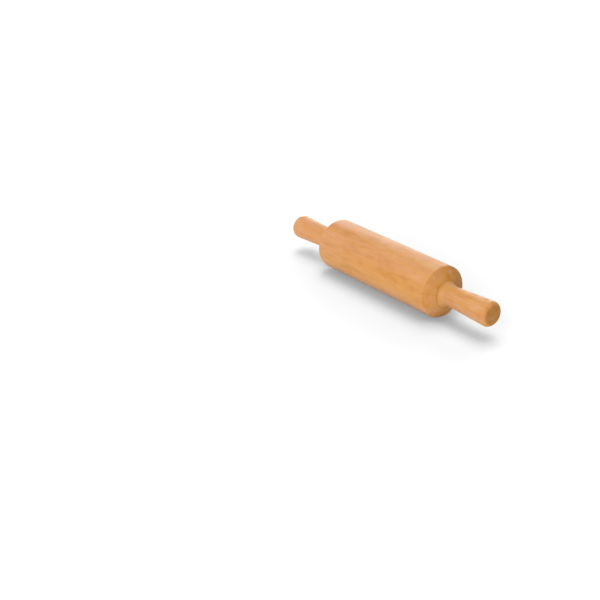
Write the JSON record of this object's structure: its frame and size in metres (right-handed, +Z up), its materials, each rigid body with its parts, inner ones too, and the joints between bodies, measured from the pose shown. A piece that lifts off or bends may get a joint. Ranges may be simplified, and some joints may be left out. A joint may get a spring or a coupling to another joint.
{
  "type": "rolling pin",
  "caption": "Wooden rolling pin: a cylindrical barrel with sloped shoulders turns on ball bearings between slim handles fixed to a steel axle.",
  "frame": {"origin": "the pin's centre, on the axis of the barrel and handles", "axes": "+X along the pin's axis towards the right handle, which is the near one in the picture; +Z up"},
  "size_m": [0.331, 0.057, 0.057],
  "materials": {
    "barrel_wood": "light honey wood under satin clear lacquer",
    "handle_wood": "light honey wood under satin clear lacquer",
    "axle_steel": "bright drawn steel",
    "bearing_steel": "ground bearing steel",
    "shield_steel": "pressed steel sheet",
    "cage_nylon": "moulded natural nylon",
    "insert_brass": "machined brass"
  },
  "bodies": {
    "handles_and_axle": {"axle": "axle_steel", "left_handle": "handle_wood", "left_handle_insert": "insert_brass", "left_spacer": "axle_steel", "left_inner_ring": "bearing_steel", "right_handle": "handle_wood", "right_handle_insert": "insert_brass", "right_spacer": "axle_steel", "right_inner_ring": "bearing_steel"},
    "barrel": {"barrel": "barrel_wood", "left_outer_ring": "bearing_steel", "left_outboard_shield": "shield_steel", "left_inboard_shield": "shield_steel", "right_outer_ring": "bearing_steel", "right_outboard_shield": "shield_steel", "right_inboard_shield": "shield_steel"},
    "left_cage": {"left_cage": "cage_nylon"},
    "right_cage": {"right_cage": "cage_nylon"},
    "left_ball_1": {"left_ball_1": "bearing_steel"},
    "left_ball_2": {"left_ball_2": "bearing_steel"},
    "left_ball_3": {"left_ball_3": "bearing_steel"},
    "left_ball_4": {"left_ball_4": "bearing_steel"},
    "left_ball_5": {"left_ball_5": "bearing_steel"},
    "left_ball_6": {"left_ball_6": "bearing_steel"},
    "left_ball_7": {"left_ball_7": "bearing_steel"},
    "right_ball_1": {"right_ball_1": "bearing_steel"},
    "right_ball_2": {"right_ball_2": "bearing_steel"},
    "right_ball_3": {"right_ball_3": "bearing_steel"},
    "right_ball_4": {"right_ball_4": "bearing_steel"},
    "right_ball_5": {"right_ball_5": "bearing_steel"},
    "right_ball_6": {"right_ball_6": "bearing_steel"},
    "right_ball_7": {"right_ball_7": "bearing_steel"}
  },
  "joints": [
    {"name": "barrel_spin", "type": "hinge", "parent": "handles_and_axle", "child": "barrel", "pos_m": [0, 0, 0], "axis": [1, 0, 0], "continuous": true},
    {"name": "left_cage_spin", "type": "hinge", "parent": "handles_and_axle", "child": "left_cage", "pos_m": [-0.09256, 0, 0], "axis": [1, 0, 0], "continuous": true},
    {"name": "right_cage_spin", "type": "hinge", "parent": "handles_and_axle", "child": "right_cage", "pos_m": [0.09256, 0, 0], "axis": [1, 0, 0], "continuous": true},
    {"name": "left_ball_1_spin", "type": "hinge", "parent": "left_cage", "child": "left_ball_1", "pos_m": [-0.09256, 0, 0.0075], "axis": [1, 0, 0], "continuous": true},
    {"name": "left_ball_2_spin", "type": "hinge", "parent": "left_cage", "child": "left_ball_2", "pos_m": [-0.09256, 0.00586, 0.00468], "axis": [1, 0, 0], "continuous": true},
    {"name": "left_ball_3_spin", "type": "hinge", "parent": "left_cage", "child": "left_ball_3", "pos_m": [-0.09256, 0.00731, -0.00167], "axis": [1, 0, 0], "continuous": true},
    {"name": "left_ball_4_spin", "type": "hinge", "parent": "left_cage", "child": "left_ball_4", "pos_m": [-0.09256, 0.00325, -0.00676], "axis": [1, 0, 0], "continuous": true},
    {"name": "left_ball_5_spin", "type": "hinge", "parent": "left_cage", "child": "left_ball_5", "pos_m": [-0.09256, -0.00325, -0.00676], "axis": [1, 0, 0], "continuous": true},
    {"name": "left_ball_6_spin", "type": "hinge", "parent": "left_cage", "child": "left_ball_6", "pos_m": [-0.09256, -0.00731, -0.00167], "axis": [1, 0, 0], "continuous": true},
    {"name": "left_ball_7_spin", "type": "hinge", "parent": "left_cage", "child": "left_ball_7", "pos_m": [-0.09256, -0.00586, 0.00468], "axis": [1, 0, 0], "continuous": true},
    {"name": "right_ball_1_spin", "type": "hinge", "parent": "right_cage", "child": "right_ball_1", "pos_m": [0.09256, 0, 0.0075], "axis": [1, 0, 0], "continuous": true},
    {"name": "right_ball_2_spin", "type": "hinge", "parent": "right_cage", "child": "right_ball_2", "pos_m": [0.09256, -0.00586, 0.00468], "axis": [1, 0, 0], "continuous": true},
    {"name": "right_ball_3_spin", "type": "hinge", "parent": "right_cage", "child": "right_ball_3", "pos_m": [0.09256, -0.00731, -0.00167], "axis": [1, 0, 0], "continuous": true},
    {"name": "right_ball_4_spin", "type": "hinge", "parent": "right_cage", "child": "right_ball_4", "pos_m": [0.09256, -0.00325, -0.00676], "axis": [1, 0, 0], "continuous": true},
    {"name": "right_ball_5_spin", "type": "hinge", "parent": "right_cage", "child": "right_ball_5", "pos_m": [0.09256, 0.00325, -0.00676], "axis": [1, 0, 0], "continuous": true},
    {"name": "right_ball_6_spin", "type": "hinge", "parent": "right_cage", "child": "right_ball_6", "pos_m": [0.09256, 0.00731, -0.00167], "axis": [1, 0, 0], "continuous": true},
    {"name": "right_ball_7_spin", "type": "hinge", "parent": "right_cage", "child": "right_ball_7", "pos_m": [0.09256, 0.00586, 0.00468], "axis": [1, 0, 0], "continuous": true}
  ],
  "couplings": [
    {"joint": "left_cage_spin", "follows": "barrel_spin", "ratio": 0.63333},
    {"joint": "right_cage_spin", "follows": "barrel_spin", "ratio": 0.63333},
    {"joint": "left_ball_1_spin", "follows": "barrel_spin", "ratio": 1.7417},
    {"joint": "left_ball_2_spin", "follows": "barrel_spin", "ratio": 1.7417},
    {"joint": "left_ball_3_spin", "follows": "barrel_spin", "ratio": 1.7417},
    {"joint": "left_ball_4_spin", "follows": "barrel_spin", "ratio": 1.7417},
    {"joint": "left_ball_5_spin", "follows": "barrel_spin", "ratio": 1.7417},
    {"joint": "left_ball_6_spin", "follows": "barrel_spin", "ratio": 1.7417},
    {"joint": "left_ball_7_spin", "follows": "barrel_spin", "ratio": 1.7417},
    {"joint": "right_ball_1_spin", "follows": "barrel_spin", "ratio": 1.7417},
    {"joint": "right_ball_2_spin", "follows": "barrel_spin", "ratio": 1.7417},
    {"joint": "right_ball_3_spin", "follows": "barrel_spin", "ratio": 1.7417},
    {"joint": "right_ball_4_spin", "follows": "barrel_spin", "ratio": 1.7417},
    {"joint": "right_ball_5_spin", "follows": "barrel_spin", "ratio": 1.7417},
    {"joint": "right_ball_6_spin", "follows": "barrel_spin", "ratio": 1.7417},
    {"joint": "right_ball_7_spin", "follows": "barrel_spin", "ratio": 1.7417}
  ]
}
